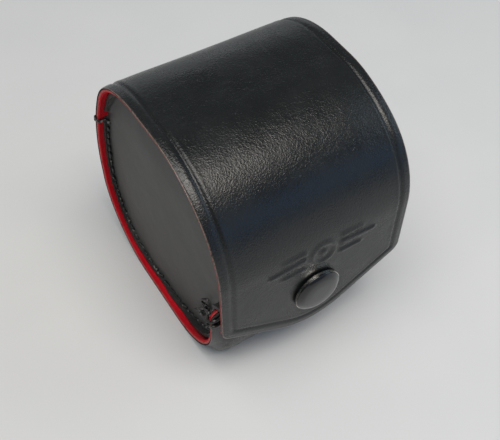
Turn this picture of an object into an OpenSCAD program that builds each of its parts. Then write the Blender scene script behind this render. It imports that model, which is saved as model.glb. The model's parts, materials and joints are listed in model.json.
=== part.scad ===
// Small hard leather carrying case for a camera lens accessory.
// One long strip of leather makes the front lip, the bottom, the back, the top and the flap.
// Two end panels are sewn between its long edges, and a press stud holds the flap shut.
// X runs along the case, -Y is the front with the press stud, +Z is up.
// The origin is on the underside, at the middle of the flat bottom.

/* [Case] */
// length of the case between the two cut edges of the strip, mm
case_length = 58; // [50:1:70]
// height of the closed case, mm
case_height = 76.3; // [74:0.5:92]
// depth from the outer face of the lip to the back, mm
case_depth = 67.8; // [56:0.5:69]
// height of the top edge of the lip, mm
lip_height = 30; // [26:0.5:36]
// height of the fold where the flap bends at the back, as a part of the height
fold_share = 0.78; // [0.74:0.01:0.8]

/* [Sheets] */
// thickness of the outer leather of the strip, mm
leather_t = 1.05; // [0.85:0.05:1.3]
// thickness of the stiffening board, mm
board_t = 0.8; // [0.6:0.05:1]
// thickness of the lining cloth, mm
lining_t = 0.5; // [0.4:0.05:0.6]
// thickness of the leather of the end panels, mm
panel_t = 1.2; // [1:0.05:1.45]

/* [Flap] */
// height of the tip of the tongue, mm
tongue_tip = 14.8; // [12:0.2:18]
// radius of the tongue's end, mm
tongue_r = 21; // [17:1:25]
// slope of the tongue's shoulders, degrees
shoulder_slope = 28.4; // [24:0.2:34]
// radius of the flap's lower corners, mm
corner_r = 4; // [3:0.5:6]
// distance of the pressed crease from the edge of the flap, mm
crease_inset = 4; // [3.5:0.25:5]

/* [End panels] */
// depth of the recess between the strip's edge and the panel's face, mm
recess = 5; // [4.5:0.25:6]
// width of the flange that is sewn to the strip, mm
flange_w = 2.6; // [2.2:0.1:3.2]
// distance between two stitches, mm
stitch_pitch = 3.6; // [3:0.1:5]

/* [Press stud] */
// height of the press stud above the base, mm
stud_z = 29.5; // [28:0.5:32]
// diameter of the cap, mm
cap_d = 15; // [12.5:0.5:18]
// gap between the lip and the flap's lining that the press stud fills, mm
stud_gap = 4.05; // [3.9:0.05:4.9]
// diameter of the hole in the socket's face, mm
socket_hole_d = 7.6; // [6.9:0.1:8.6]

/* [Hidden] */
$fn = 96;
glue = 0.05;
fold_gap = 0.3;
thread_r = 0.3;
needle_r = 0.36;
embossing_h = 0.25;

// the sections of the strip: centres and radii of the arcs, all in the Y-Z plane
// Radii are whole numbers and the two joining directions have short sines and cosines,
// so that neighbouring arcs meet exactly.
half_depth = case_depth / 2;
crown_r = round(0.4425 * case_depth);
upper_back_r = round(0.9587 * case_depth);
lean = atan2(336, 527);
seam_end_angle = atan2(44, 117);
back_top = case_height - crown_r - (upper_back_r - crown_r) * sin(lean);
back_corner_r = min(round(0.354 * case_depth), floor(back_top) - 1);
front_corner_r = min(round(0.339 * case_depth), floor(lip_height) - 6);
flap_t = leather_t + board_t + lining_t + 2 * glue;
flap_front = -half_depth - stud_gap - flap_t;

front_corner = [-half_depth + front_corner_r, front_corner_r];
back_corner = [half_depth - back_corner_r, back_corner_r];
upper_back = [half_depth - upper_back_r, back_top];
crown_back = upper_back + (upper_back_r - crown_r) * [cos(lean), sin(lean)];
crown_front = [flap_front + crown_r, case_height - crown_r];

// the fold, an angle on the upper back arc
fold_angle = asin((fold_share * case_height - back_top) / upper_back_r);
fold_half = fold_gap / 2 / upper_back_r * 180 / PI;
board_end_angle = fold_angle - 5;
flap_board_angle = lean + 9.5;

// depths below the outer face of the strip
lining_out = leather_t + glue;
lining_in = lining_out + lining_t;
board_out = leather_t + glue;
board_in = board_out + board_t;
inner_face = board_in + glue + lining_t;
flange_out = lining_in + glue;
flange_in = flange_out + panel_t;

// positions along X
half_length = case_length / 2;
panel_face = half_length - recess;
panel_back = panel_face - panel_t;
panel_board_out = panel_back - glue;
panel_board_in = panel_board_out - board_t;
panel_lining_out = panel_board_in - glue;
panel_lining_in = panel_lining_out - lining_t;
stitch_x = panel_face + flange_w / 2;
strip_board_half = panel_lining_in - 0.2;
panel_top_gap = 0.5;

// the seam, measured along the outer face from its start on the lip
seam_start = lip_height - 2;
tie_step = 1.6;
seam_lip = seam_start - front_corner_r;
seam_front = seam_lip + front_corner_r * PI / 2;
seam_bottom = seam_front + back_corner[0] - front_corner[0];
seam_back = seam_bottom + back_corner_r * PI / 2;
seam_wall = seam_back + back_top - back_corner_r;
seam_length = seam_wall + upper_back_r * seam_end_angle * PI / 180;
stitches = round(seam_length / stitch_pitch);

// press stud sizes, measured along its axis from the faces it is fixed to
cap_h = 2.6;
cap_wall = 0.4;
post_r = 2;
socket_r = cap_d / 2 - 1.3;
socket_wall = 0.45;
socket_face_t = 0.35;
socket_h = stud_gap - 0.95;
stud_flange_t = 0.6;
stud_neck_r = 1.35;
stud_head_r = 1.65;
stud_h = 2.05;
shank_r = 1.5;
washer_r = 4.2;
washer_t = 0.5;
spring_wire_r = 0.2;

leather_black = [0.06, 0.06, 0.07];
panel_black = [0.14, 0.14, 0.15];
lining_red = [0.68, 0.09, 0.13];
board_grey = [0.45, 0.40, 0.34];
thread_black = [0.05, 0.05, 0.05];
lacquer_black = [0.04, 0.04, 0.05];
nickel = [0.72, 0.71, 0.68];

// a point at distance r from c in the direction a
function ray(c, r, a) = c + r * [cos(a), sin(a)];

// n + 1 points along an arc
function arc(c, r, a, b, n) = [for (i = [0 : n]) ray(c, r, a + (b - a) * i / n)];

// a point of the seam: [y, z, direction of the outward normal]
function seam_point(s) =
    s < seam_lip ? [-half_depth, seam_start - s, 180] :
    s < seam_front ? arc_point(front_corner, front_corner_r, 180 + (s - seam_lip) / front_corner_r * 180 / PI) :
    s < seam_bottom ? [front_corner[0] + s - seam_front, 0, 270] :
    s < seam_back ? arc_point(back_corner, back_corner_r, 270 + (s - seam_bottom) / back_corner_r * 180 / PI) :
    s < seam_wall ? [half_depth, back_corner_r + s - seam_back, 0] :
    arc_point(upper_back, upper_back_r, (s - seam_wall) / upper_back_r * 180 / PI);
function arc_point(c, r, a) = [ray(c, r, a)[0], ray(c, r, a)[1], a];

// extrudes a Y-Z shape along X from x0 to x1
module along_x(x0, x1) {
    translate([x0, 0, 0]) rotate([90, 0, 90]) linear_extrude(x1 - x0) children();
}

// the slice of a disc about c between the directions a and b
module wedge(c, a, b) {
    reach = 100;
    polygon([c, ray(c, reach, a), ray(c, reach, (a + b) / 2), ray(c, reach, b)]);
}

// a full slice of a disc
module pie(c, r, a, b) {
    intersection() {
        translate(c) circle(r);
        wedge(c, a, b);
    }
}

// a bent band between two depths below an arc of radius r
module bent(c, r, a, b, d0, d1) {
    intersection() {
        difference() {
            translate(c) circle(r - d0);
            translate(c) circle(r - d1);
        }
        wedge(c, a, b);
    }
}

// the strip from the lip, under the case and up the back, between two depths
module body_band(d0, d1, top, end_angle) {
    translate([-half_depth + d0, front_corner_r]) square([d1 - d0, top - front_corner_r]);
    bent(front_corner, front_corner_r, 180, 270, d0, d1);
    translate([front_corner[0], d0]) square([back_corner[0] - front_corner[0], d1 - d0]);
    bent(back_corner, back_corner_r, 270, 360, d0, d1);
    translate([half_depth - d1, back_corner_r]) square([d1 - d0, back_top - back_corner_r]);
    bent(upper_back, upper_back_r, 0, end_angle, d0, d1);
}

// the flap from the fold, over the top and down the front, between two depths
module flap_band(d0, d1) {
    bent(upper_back, upper_back_r, fold_angle + fold_half, lean, d0, d1);
    flap_band_from(lean, d0, d1);
}
module flap_band_from(start, d0, d1) {
    bent(crown_back, crown_r, start, 90, d0, d1);
    translate([crown_front[0], case_height - d1]) square([crown_back[0] - crown_front[0], d1 - d0]);
    bent(crown_front, crown_r, 90, 180, d0, d1);
    translate([flap_front + d0, 0]) square([d1 - d0, crown_front[1]]);
}

// the front outline of the flap, drawn in from its edge by e
module tongue(e) {
    w = half_length - e;
    c = [0, tongue_tip + tongue_r];
    foot = ray(c, tongue_r - e, 270 + shoulder_slope);
    r = max(corner_r - e, 1);
    corner = [w - r, foot[1] + (w - r - foot[0]) * tan(shoulder_slope) + r / cos(shoulder_slope)];
    top = crown_front[1] + 1;
    tip = arc(c, tongue_r - e, 270, 270 + shoulder_slope, 8);
    right = concat(tip, arc(corner, r, 270 + shoulder_slope, 360, 8), [[w, top]]);
    polygon(concat([for (i = [len(right) - 1 : -1 : 1]) [-right[i][0], right[i][1]]], right));
}

// what lies outside the flap's front outline
module tongue_waste(e) {
    translate([0, flap_front + 8, 0]) rotate([90, 0, 0]) linear_extrude(16) difference() {
        translate([-half_length - 5, -5]) square([case_length + 10, crown_front[1] + 5]);
        tongue(e);
    }
}

// a layer of the flap, drawn in from its edge by e
module flap_layer(e, d0, d1) {
    difference() {
        along_x(-half_length + e, half_length - e) flap_band(d0, d1);
        tongue_waste(e);
    }
}

// the part of the flap that the stiffening board takes up, drawn in by e
module flap_board_layer(e, start, d0, d1) {
    difference() {
        along_x(-half_length + e, half_length - e) flap_band_from(start, d0, d1);
        tongue_waste(e);
    }
}

// a round hole through the front, on the press stud's axis
module stud_hole(r) {
    translate([0, 0, stud_z]) rotate([90, 0, 0]) cylinder(h = 60, r = r);
}

// places children on the press stud's axis with +Z outwards from the plane y
module on_stud_axis(y) {
    translate([0, y, stud_z]) rotate([90, 0, 0]) children();
}

// the end panel's outline, its flange drawn in by e
module panel_outline(e) {
    outer_r = upper_back_r - flange_out;
    wanted_top = case_height - inner_face - panel_top_gap;
    wanted_r = (wanted_top - back_top - outer_r * sin(seam_end_angle)) / (1 - sin(seam_end_angle));
    shift = round(10 * (outer_r - wanted_r)) / 10;
    back_r = outer_r - shift;
    back = ray(upper_back, shift, seam_end_angle);
    inner = [back[0], back_top];
    top = back[1] + back_r;
    front_r = round(0.354 * case_depth);
    front = [-half_depth + flange_out + front_r, top - front_r];
    lo = flange_out + e;
    polygon([front_corner, [front_corner[0], lo], [back_corner[0], lo], back_corner,
        [half_depth - lo, back_corner_r], [half_depth - lo, back_top], inner, back,
        [back[0], top - e], [front[0], top - e], front, [-half_depth + lo, front[1]],
        [-half_depth + lo, front_corner_r]]);
    pie(front, front_r - e, 90, 180);
    pie(back, back_r - e, seam_end_angle, 90);
    intersection() {
        translate(upper_back) circle(upper_back_r - lo);
        polygon([inner, ray(upper_back, 100, 0), ray(upper_back, 100, seam_end_angle / 2),
            ray(upper_back, 100, seam_end_angle), back]);
    }
    pie(back_corner, back_corner_r - lo, 270, 360);
    pie(front_corner, front_corner_r - lo, 180, 270);
}

// cylinders across the seam at every stitch, between two depths, on the right end
module stitch_legs(r, d0, d1) {
    for (i = [0 : stitches]) {
        p = seam_point(seam_length * i / stitches);
        seam_leg(p, r, d0, d1);
    }
}
module seam_leg(p, r, d0, d1) {
    translate([stitch_x, p[0] - d1 * cos(p[2]), p[1] - d1 * sin(p[2])])
        rotate([p[2] - 90, 0, 0]) cylinder(h = d1 - d0, r = r, $fn = 24);
}

// the two places where a tie goes round the strip's edge
tie_low = [-half_depth, lip_height - 0.9, 180];
tie_high = seam_point(seam_length + tie_step);
module tie_holes(d0, d1) {
    seam_leg(tie_low, needle_r, d0, d1);
    seam_leg(tie_high, needle_r, d0, d1);
}

// holes and groove that the seam makes in a layer, on both ends
module seam_holes(d0, d1) {
    for (side = [0, 1]) mirror([side, 0, 0]) {
        stitch_legs(needle_r, d0, d1);
        tie_holes(d0, d1);
    }
}

module body_leather() color(leather_black) {
    difference() {
        along_x(-half_length, half_length) body_band(0, leather_t, lip_height, fold_angle - fold_half);
        for (side = [0, 1]) mirror([side, 0, 0])
            along_x(stitch_x - needle_r, stitch_x + needle_r)
                body_band(-1, 0.4, seam_start + needle_r, seam_end_angle + 0.3);
        seam_holes(-0.5, leather_t + 0.5);
        stud_hole(shank_r + glue);
    }
}

module body_board() color(board_grey) {
    difference() {
        along_x(-strip_board_half, strip_board_half)
            body_band(board_out, board_in, lip_height - 3, board_end_angle);
        stud_hole(shank_r + glue);
    }
}

module body_lining() color(lining_red) {
    w = strip_board_half + glue;
    difference() {
        union() {
            along_x(-half_length + 0.2, half_length - 0.2)
                body_band(lining_out, lining_in, lip_height - 0.2, fold_angle - fold_half);
            along_x(-w - lining_t, w + lining_t)
                body_band(lining_out, inner_face, lip_height - 3 + lining_t, board_end_angle + lining_t);
        }
        along_x(-w, w) body_band(leather_t, board_in + glue, lip_height - 3 + glue, board_end_angle + glue);
        seam_holes(leather_t, lining_in + 0.5);
        stud_hole(shank_r + glue);
    }
}

module embossing() {
    on_stud_axis(flap_front - embossing_h) translate([0, 0, -embossing_h - 0.2])
        translate([0, 14, 0]) linear_extrude(embossing_h + 0.2) {
            difference() {
                circle(3.6);
                circle(2.5);
            }
            circle(1);
            for (side = [0, 1]) mirror([side, 0]) {
                polygon([[5.2, 1.1], [15.5, 0.35], [15.5, -0.35], [5.2, -1.1]]);
                polygon([[5.2, 3.2], [11.5, 2.5], [11.5, 1.9], [5.2, 2.1]]);
                polygon([[5.2, -3.2], [11.5, -2.5], [11.5, -1.9], [5.2, -2.1]]);
            }
        }
}

module flap_leather() color(leather_black) {
    difference() {
        union() {
            flap_layer(0, 0, leather_t);
            embossing();
        }
        difference() {
            flap_layer(crease_inset, -0.2, 0.35);
            flap_layer(crease_inset + 1, -0.5, 0.5);
        }
        stud_hole(post_r + glue);
    }
}

module flap_board() color(board_grey) {
    difference() {
        flap_board_layer(crease_inset + 0.5, flap_board_angle, board_out, board_in);
        stud_hole(post_r + glue);
    }
}

module flap_lining() color(lining_red) {
    e = crease_inset + 0.5;
    difference() {
        union() {
            flap_layer(0.2, lining_out, lining_in);
            flap_board_layer(e - glue - lining_t, flap_board_angle - 1.2, lining_out, inner_face);
        }
        flap_board_layer(e - glue, flap_board_angle - 0.1, leather_t, board_in + glue);
        stud_hole(post_r + glue);
    }
}

module panel_leather(side) color(panel_black) mirror([side, 0, 0]) {
    difference() {
        union() {
            along_x(panel_back, panel_face) panel_outline(0);
            along_x(panel_face, panel_face + flange_w) difference() {
                panel_outline(0);
                panel_outline(panel_t);
            }
        }
        along_x(stitch_x - needle_r, stitch_x + needle_r)
            body_band(flange_in - 0.3, flange_in + 1, seam_start + needle_r, seam_end_angle + 0.3);
        stitch_legs(needle_r, flange_out - 0.5, flange_in + 0.5);
        tie_holes(flange_out - 0.5, flange_in + 0.9);
    }
}
module panel_board(side) color(board_grey) mirror([side, 0, 0])
    along_x(panel_board_in, panel_board_out) panel_outline(panel_t);
module panel_lining(side) color(lining_red) mirror([side, 0, 0])
    along_x(panel_lining_in, panel_lining_out) panel_outline(panel_t);

module left_panel_leather() panel_leather(1);
module left_panel_board() panel_board(1);
module left_panel_lining() panel_lining(1);
module right_panel_leather() panel_leather(0);
module right_panel_board() panel_board(0);
module right_panel_lining() panel_lining(0);

module seam_thread(side) color(thread_black) mirror([side, 0, 0]) {
    for (run = [[0.05, 0.36], [flange_in - 0.26, flange_in - 0.02]])
        along_x(stitch_x - thread_r, stitch_x + thread_r)
            body_band(run[0], run[1], seam_start + thread_r, seam_end_angle + 0.25);
    stitch_legs(thread_r, 0.2, flange_in - 0.1);
}
module left_seam_thread() seam_thread(1);
module right_seam_thread() seam_thread(0);

// a loop of thread through the seam and round the strip's cut edge
module tie(p) {
    out = -thread_r - glue;
    edge = half_length + thread_r + glue;
    under = lining_in + thread_r + glue;
    step = panel_face + flange_w + thread_r + glue;
    over = flange_in + thread_r + glue;
    path = [[stitch_x, out], [edge, out], [edge, under], [step, under], [step, over], [stitch_x, over], [stitch_x, out]];
    translate([0, p[0], p[1]]) rotate([p[2] - 90, 0, 0]) for (i = [0 : len(path) - 2]) {
        a = [path[i][0], 0, -path[i][1]];
        b = [path[i + 1][0], 0, -path[i + 1][1]];
        v = b - a;
        translate(a) sphere(thread_r, $fn = 24);
        translate(a) rotate([0, abs(v[0]) > 0.01 ? sign(v[0]) * 90 : (v[2] > 0 ? 0 : 180), 0])
            cylinder(h = norm(v), r = thread_r, $fn = 24);
    }
}
module seam_ties(side) color(thread_black) mirror([side, 0, 0]) {
    tie(tie_low);
    tie(tie_high);
}
module left_seam_ties() seam_ties(1);
module right_seam_ties() seam_ties(0);

module snap_cap() color(lacquer_black) on_stud_axis(flap_front) {
    r = cap_d / 2;
    rotate_extrude() difference() {
        polygon([[0, 0], [r, 0], [r, 1.2], [r - 0.12, 1.65], [r - 0.45, 2], [r - 0.85, 2.15], [r * 0.6, 2.4],
            [r * 0.3, cap_h - 0.05], [0, cap_h]]);
        polygon([[0, -1], [r - 1.5, -1], [r - 1.5, 0.4], [r - cap_wall, 0.4], [r - cap_wall, 1.15],
            [r - 0.9, 1.7], [r * 0.6, 2], [0, cap_h - cap_wall]]);
    }
}

module snap_post() color(nickel) on_stud_axis(flap_front) {
    disc_r = cap_d / 2 - cap_wall - glue;
    end = -flap_t - socket_wall;
    rotate_extrude() difference() {
        polygon([[0, 1], [disc_r, 1], [disc_r, 0.45], [post_r, 0.45], [post_r, end - glue], [post_r + 0.9, end - glue],
            [post_r + 0.9, end - 0.4], [post_r + 0.5, end - 0.5], [0, end - 0.5]]);
        translate([0, end - 1]) square([post_r - 0.6, flap_t + socket_wall + 0.9]);
    }
}

module snap_socket() color(nickel) on_stud_axis(flap_front + flap_t) mirror([0, 0, 1]) {
    rotate_extrude() difference() {
        polygon([[post_r + glue, 0], [socket_r, 0], [socket_r, socket_h - 0.5], [socket_r - 0.5, socket_h],
            [post_r + glue, socket_h]]);
        polygon([[0, socket_wall], [socket_r - socket_wall, socket_wall],
            [socket_r - socket_wall, socket_h - socket_face_t - 0.3],
            [socket_r - socket_wall - 0.3, socket_h - socket_face_t], [0, socket_h - socket_face_t]]);
        translate([0, socket_wall + 0.1]) square([socket_hole_d / 2, socket_h]);
    }
}

module snap_spring() color(nickel)
    on_stud_axis(flap_front + flap_t + socket_h - socket_face_t - spring_wire_r - 0.02) {
        ring_r = (socket_hole_d / 2 + socket_r - socket_wall) / 2;
        z = stud_neck_r + spring_wire_r + 0.05;
        half = sqrt(ring_r * ring_r - z * z);
        rotate_extrude() translate([ring_r, 0]) circle(spring_wire_r, $fn = 24);
        for (side = [-1, 1]) translate([-half, side * z, 0]) rotate([0, 90, 0])
            cylinder(h = 2 * half, r = spring_wire_r, $fn = 24);
    }

module snap_stud() color(nickel) on_stud_axis(-half_depth) {
    inner = -inner_face - washer_t;
    flange_r = washer_r + 0.8;
    rotate_extrude() polygon([[0, stud_h], [1, stud_h], [stud_head_r, stud_h - 0.2], [stud_head_r, stud_h - 0.3],
        [stud_neck_r, stud_h - 0.45], [stud_neck_r, stud_flange_t], [flange_r - 0.3, stud_flange_t],
        [flange_r, stud_flange_t - 0.3], [flange_r, 0.02], [shank_r, 0.02], [shank_r, inner - glue],
        [shank_r + 0.7, inner - glue], [shank_r + 0.6, inner - 0.35], [0, inner - 0.35]]);
}

module snap_washer() color(nickel) on_stud_axis(-half_depth + inner_face + glue)
    mirror([0, 0, 1]) rotate_extrude() polygon([[shank_r + glue, 0], [washer_r, 0], [washer_r, 0.2],
        [washer_r - 0.4, washer_t - glue], [shank_r + glue, washer_t - glue]]);

body_leather();
body_board();
body_lining();
flap_leather();
flap_board();
flap_lining();
left_panel_leather();
left_panel_board();
left_panel_lining();
right_panel_leather();
right_panel_board();
right_panel_lining();
left_seam_thread();
right_seam_thread();
left_seam_ties();
right_seam_ties();
snap_cap();
snap_post();
snap_socket();
snap_spring();
snap_stud();
snap_washer();
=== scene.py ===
# %% [markdown]
# # A small moulded leather case
# The case is one long strip of black leather that makes the front lip, the bottom, the back, the top
# and the flap, with two end panels sewn between its long edges. It is lined with red cloth, and a press
# stud holds the flap. A saddler cuts each piece flat, creases it, and only then folds it round the form.
# This script does the same: flat pieces first, then a "wrap" that lays them on the section of the case.

# %% Load the frame
import json
import math

import bpy
import numpy as np
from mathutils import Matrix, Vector


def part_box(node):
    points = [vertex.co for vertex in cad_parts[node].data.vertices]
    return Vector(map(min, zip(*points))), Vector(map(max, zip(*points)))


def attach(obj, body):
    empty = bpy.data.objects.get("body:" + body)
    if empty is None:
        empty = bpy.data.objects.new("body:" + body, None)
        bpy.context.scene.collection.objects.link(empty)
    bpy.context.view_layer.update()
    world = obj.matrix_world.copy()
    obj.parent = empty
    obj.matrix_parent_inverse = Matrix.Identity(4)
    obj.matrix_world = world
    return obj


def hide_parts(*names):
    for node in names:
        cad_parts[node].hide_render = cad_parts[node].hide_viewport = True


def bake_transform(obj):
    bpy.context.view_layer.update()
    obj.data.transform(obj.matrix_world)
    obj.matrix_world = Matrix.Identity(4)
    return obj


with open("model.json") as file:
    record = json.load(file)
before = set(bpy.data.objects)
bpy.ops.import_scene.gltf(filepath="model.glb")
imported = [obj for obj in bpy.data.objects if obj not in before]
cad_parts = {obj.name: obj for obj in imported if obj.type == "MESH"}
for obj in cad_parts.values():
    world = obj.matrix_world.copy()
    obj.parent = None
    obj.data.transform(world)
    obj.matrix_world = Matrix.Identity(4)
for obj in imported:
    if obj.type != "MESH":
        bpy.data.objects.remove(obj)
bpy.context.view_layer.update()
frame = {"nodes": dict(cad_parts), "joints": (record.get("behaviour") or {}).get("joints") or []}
MM = 0.001


def box_mm(node):
    """The lowest and highest corner of a CAD node, in millimetres."""
    return [np.array(corner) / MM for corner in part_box(node)]


body_low, body_high = box_mm("body_leather")
flap_low, flap_high = box_mm("flap_leather")
panel_high = box_mm("right_panel_leather")[1]
cap_low, cap_high = box_mm("snap_cap")
half_length = body_high[0]
back_y = body_high[1]
lip_y = body_low[1]
case_height = flap_high[2]
tongue_tip = flap_low[2]
hinge = np.array(frame["joints"][0]["pos_m"])[1:] / MM
snap_z = (cap_low[2] + cap_high[2]) / 2
print("half length", half_length, "height", case_height, "hinge", hinge)

# %% [markdown]
# ## Camera
# The camera comes first, because everything else is judged through it. It looks down on the case from the
# front left. Its place is given the way a photographer would say it: what it aims at, how far round, how
# high, how far away, and the lens.

# %% Camera
AIM = (-2.726, -11.548, 30.651)
AROUND = math.radians(32.2715)
ABOVE = math.radians(49.7602)
DISTANCE = 211.817
LENS = 52.85


def look_from(aim, around, above, distance):
    """Camera place and turn for an aim point, an angle round from the front and an angle above the floor."""
    level = math.cos(above)
    away = np.array([-math.sin(around) * level, -math.cos(around) * level, math.sin(above)])
    place = (np.array(aim) + away * distance) * MM
    return place, (math.pi / 2 - above, 0, -around)


camera_data = bpy.data.cameras.new("camera")
camera = bpy.data.objects.new("camera", camera_data)
bpy.context.scene.collection.objects.link(camera)
camera.location, camera.rotation_euler = look_from(AIM, AROUND, ABOVE, DISTANCE)
camera_data.lens = LENS
camera_data.sensor_width = 36
camera_data.clip_start = 0.01
bpy.context.scene.camera = camera
bpy.context.scene.view_settings.view_transform = "Standard"
print("camera at", [round(v, 4) for v in camera.location])

# %% [markdown]
# ## Helpers for modelling
# An operator works on whatever is selected, so each new primitive starts from a clean selection. A flat
# piece is a grid primitive whose columns and rows are then laid out by a function. That is quicker to read
# than hundreds of moves, and it gives each piece a flat pattern to measure on.

# %% Modelling helpers


def only(obj):
    """Makes obj the one selected and active object."""
    bpy.ops.object.select_all(action="DESELECT")
    obj.select_set(True)
    bpy.context.view_layer.objects.active = obj
    return obj


def added(name):
    """Names the primitive that was just added."""
    obj = bpy.context.active_object
    obj.name = name
    obj.data.name = name
    return only(obj)


def flat_grid(name, columns, rows):
    """A flat grid, with its (column, row) counts read back for each vertex."""
    bpy.ops.object.select_all(action="DESELECT")
    bpy.ops.mesh.primitive_grid_add(x_subdivisions=columns - 1, y_subdivisions=rows - 1, size=2)
    obj = added(name)
    co = vertices(obj)
    column = np.rint((co[:, 0] + 1) / 2 * (columns - 1)).astype(int)
    row = np.rint((co[:, 1] + 1) / 2 * (rows - 1)).astype(int)
    return obj, column, row


def vertices(obj):
    co = np.zeros(len(obj.data.vertices) * 3)
    obj.data.vertices.foreach_get("co", co)
    return co.reshape(-1, 3)


def set_vertices(obj, co_mm):
    obj.data.vertices.foreach_set("co", (np.asarray(co_mm) * MM).ravel())
    obj.data.update()


def set_value(obj, name, values):
    """Keeps one number for each vertex, which a material can read."""
    layer = obj.data.attributes.get(name) or obj.data.attributes.new(name, "FLOAT", "POINT")
    layer.data.foreach_set("value", np.asarray(values, np.float32))


def edit(obj, *steps):
    """Runs edit-mode steps on the whole of obj."""
    only(obj)
    bpy.ops.object.mode_set(mode="EDIT")
    bpy.ops.mesh.select_all(action="SELECT")
    for action in steps:
        action()
    bpy.ops.object.mode_set(mode="OBJECT")
    return obj


def outward(obj):
    return edit(obj, lambda: bpy.ops.mesh.normals_make_consistent(inside=False))


def weld(obj, distance=1e-6):
    return edit(obj, lambda: bpy.ops.mesh.remove_doubles(threshold=distance))


def modify(obj, kind, **settings):
    """Adds a modifier and applies it."""
    only(obj)
    modifier = obj.modifiers.new(kind.lower(), kind)
    for key, value in settings.items():
        setattr(modifier, key, value)
    bpy.ops.object.modifier_apply(modifier=modifier.name)
    return obj


def smooth(obj, degrees=40):
    only(obj)
    bpy.ops.object.shade_smooth_by_angle(angle=math.radians(degrees))
    return obj


def coated(obj, *materials):
    """Gives obj its materials, in order."""
    for mat in materials:
        obj.data.materials.append(mat)
    return obj


def thicken(obj, thickness_mm, rim_slot=0):
    """Gives an open sheet its thickness inwards. The value "depth" is 0 on the outer face and 1 on the inner."""
    outer = len(obj.data.vertices)
    modify(obj, "SOLIDIFY", thickness=thickness_mm * MM, offset=-1, use_even_offset=True,
           material_offset_rim=rim_slot)
    set_value(obj, "depth", np.arange(len(obj.data.vertices)) >= outer)
    return obj


def join(name, objects):
    """Joins several objects into one piece."""
    bpy.ops.object.select_all(action="DESELECT")
    for obj in objects:
        obj.select_set(True)
    bpy.context.view_layer.objects.active = objects[0]
    bpy.ops.object.join()
    return added(name)


def step(low, high, value):
    """Goes smoothly from 0 at low to 1 at high, and stays there beyond. high may be the smaller one."""
    t = np.clip((value - low) / (high - low), 0, 1)
    return t * t * (3 - 2 * t)


def ridge(centre, width, value):
    """A soft bump of height 1 round centre."""
    return np.exp(-(((value - centre) / width) ** 2))


def waves(x, s, seed, size):
    """Slow uneven rise and fall between about -1 and 1, the same at each run."""
    chance = np.random.default_rng(seed)
    total = np.zeros_like(x, dtype=float)
    for _ in range(6):
        angle = chance.uniform(0, math.tau)
        pace = chance.uniform(0.7, 1.6) * math.tau / size
        total += np.sin((x * math.cos(angle) + s * math.sin(angle)) * pace + chance.uniform(0, math.tau))
    return total / 3.5


# %% [markdown]
# ## Shader maths
# Materials are written as sums and products. This small class wraps a socket, so that `a * 2 + b` adds the
# Math nodes by itself.

# %% Shader helper


class Sock:
    """A shader socket that takes part in sums."""

    def __init__(self, tree, socket):
        self.tree = tree
        self.socket = socket

    def node(self, kind, settings=None, out=0, **inputs):
        """Adds a node, sets it up, feeds its inputs and returns the wrapped output."""
        node = self.tree.nodes.new(kind)
        for key, value in (settings or {}).items():
            setattr(node, key, value)
        for key, value in inputs.items():
            key = int(key[1:]) if key[1:].isdigit() else key.replace("_", " ")
            target = node.inputs[key]
            if isinstance(value, Sock):
                self.tree.links.new(value.socket, target)
            elif value is not None:
                target.default_value = value
        return Sock(self.tree, node.outputs[out])

    def maths(self, operation, a, b=None, c=None):
        return self.node("ShaderNodeMath", {"operation": operation}, _0=a, _1=b, _2=c)

    def __add__(self, other):
        return self.maths("ADD", self, other)

    __radd__ = __add__

    def __mul__(self, other):
        return self.maths("MULTIPLY", self, other)

    __rmul__ = __mul__

    def __sub__(self, other):
        return self.maths("SUBTRACT", self, other)

    def __rsub__(self, other):
        return self.maths("SUBTRACT", other, self)

    def ramp(self, low, high, to_low=0.0, to_high=1.0):
        """Maps low..high to to_low..to_high, smoothly and held at both ends."""
        return self.node("ShaderNodeMapRange", {"interpolation_type": "SMOOTHSTEP"}, Value=self, _1=low, _2=high,
                         _3=to_low, _4=to_high)

    def colour(self, a, b):
        """Mixes colour a into b by this value."""
        return self.node("ShaderNodeMix", {"data_type": "RGBA"}, out=2, _0=self, _6=a, _7=b)


def material(name, metallic=0.0, coat=0.0, coat_rough=0.1, sheen=0.0, specular=0.5):
    """A new material: its shader node and a wrapped Object coordinate in millimetres."""
    mat = bpy.data.materials.new(name)
    mat.use_nodes = True
    tree = mat.node_tree
    shader = tree.nodes["Principled BSDF"]
    shader.inputs["Metallic"].default_value = metallic
    shader.inputs["Coat Weight"].default_value = coat
    shader.inputs["Coat Roughness"].default_value = coat_rough
    shader.inputs["Sheen Weight"].default_value = sheen
    shader.inputs["Sheen Roughness"].default_value = 0.6
    shader.inputs["Specular IOR Level"].default_value = specular
    coordinates = Sock(tree, tree.nodes.new("ShaderNodeTexCoord").outputs["Object"])
    place = coordinates.node("ShaderNodeVectorMath", {"operation": "SCALE"}, _0=coordinates, Scale=1000.0)
    return mat, shader, place


def feed(shader, place, **sockets):
    """Links wrapped values into the shader's own sockets."""
    for key, value in sockets.items():
        place.tree.links.new(value.socket, shader.inputs[key.replace("_", " ")])


def noise(place, scale, detail=2.0, rough=0.5, distortion=0.0):
    return place.node("ShaderNodeTexNoise", None, 0, Vector=place, Scale=scale, Detail=detail, Roughness=rough,
                      Distortion=distortion)


def cells(place, scale, feature="F1"):
    return place.node("ShaderNodeTexVoronoi", {"feature": feature}, 0, Vector=place, Scale=scale)


def bump(height, distance, strength=1.0, onto=None):
    return height.node("ShaderNodeBump", None, 0, Height=height, Distance=distance * MM, Strength=strength,
                       Normal=onto)


def value_on(place, name):
    """A number that was kept on the piece's vertices."""
    return place.node("ShaderNodeAttribute", {"attribute_name": name}, 2)


# %% [markdown]
# ## Black grained leather
# The strip is chrome-tanned cowhide with a semi-gloss black finish. Its grain is a field of small pebbles,
# a few tenths of a millimetre across, with finer pores and, here and there, wrinkles that run one way where
# the hide was pulled over the form. The finish is shinier on the pebbles' tops and duller in between. It is
# rubbed along the edges.

# %% Leather material


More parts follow.
